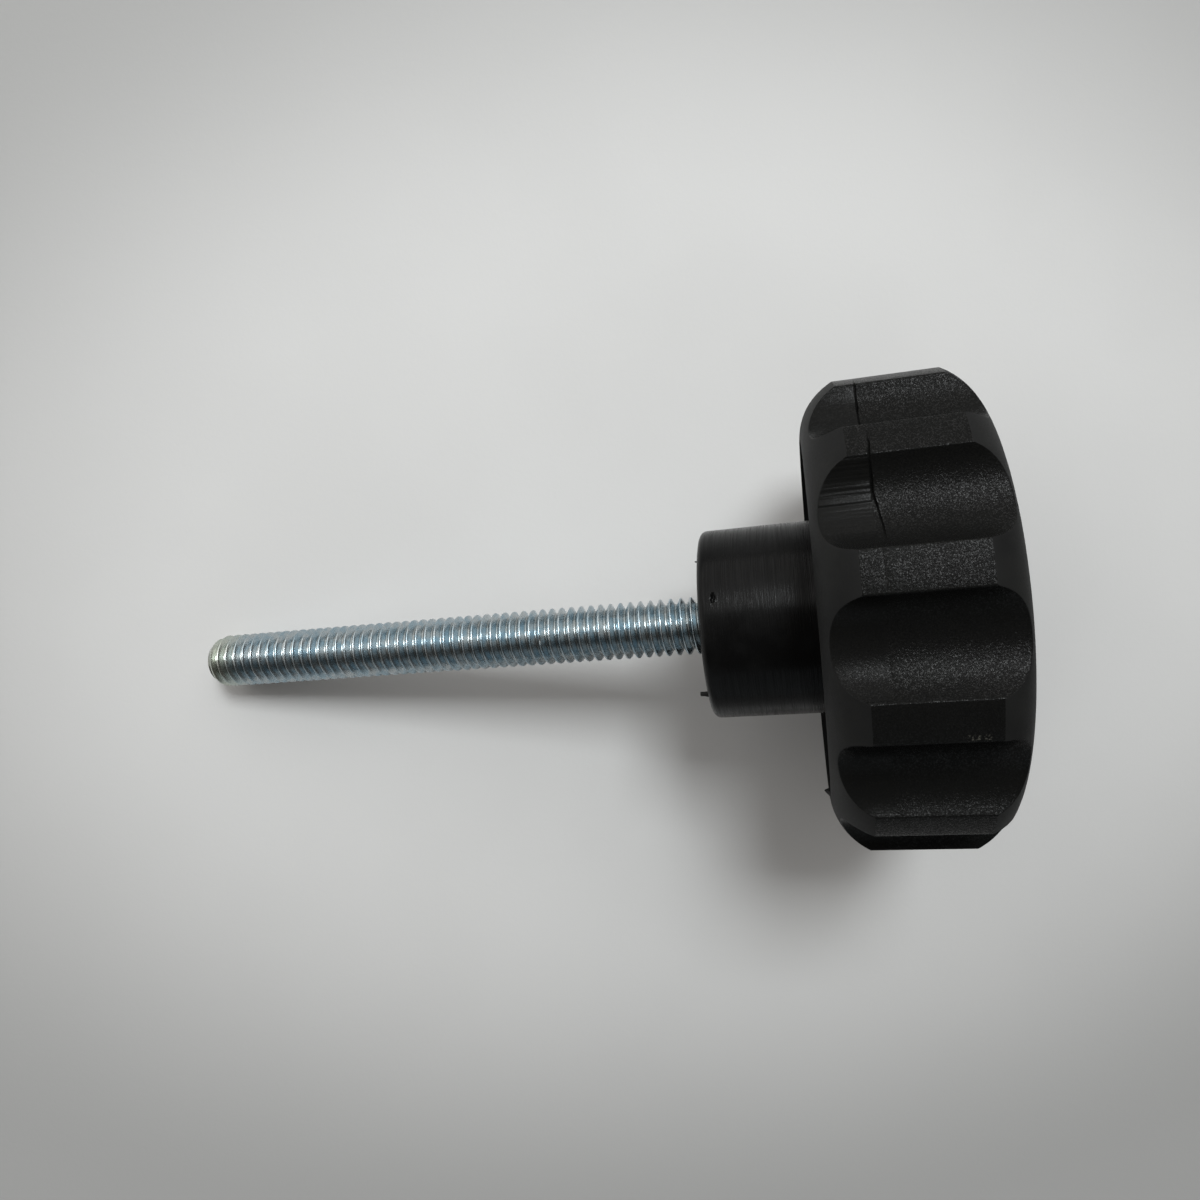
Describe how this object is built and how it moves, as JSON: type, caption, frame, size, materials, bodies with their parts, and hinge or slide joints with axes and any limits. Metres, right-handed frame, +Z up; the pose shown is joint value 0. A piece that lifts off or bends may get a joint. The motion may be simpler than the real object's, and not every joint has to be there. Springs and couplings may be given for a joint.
{
  "type": "clamping screw",
  "caption": "Hand clamping screw: a black fluted lobe knob with a round hub, moulded on a long plated threaded stud, lying at rest.",
  "frame": {"origin": "on the surface it lies on, under the middle of its overall box", "axes": "+Z up, +X along the screw from the stud's tip towards the knob, the screw's axis rising towards the knob in the XZ plane"},
  "size_m": [0.1141, 0.0586, 0.0598],
  "materials": {
    "knob": "black glass-filled nylon, spark-eroded on the lobes, satin on the shoulders and hub",
    "stud": "zinc plated and blue passivated"
  },
  "bodies": {
    "root": {"knob": "knob", "threaded_stud": "stud"}
  },
  "joints": []
}
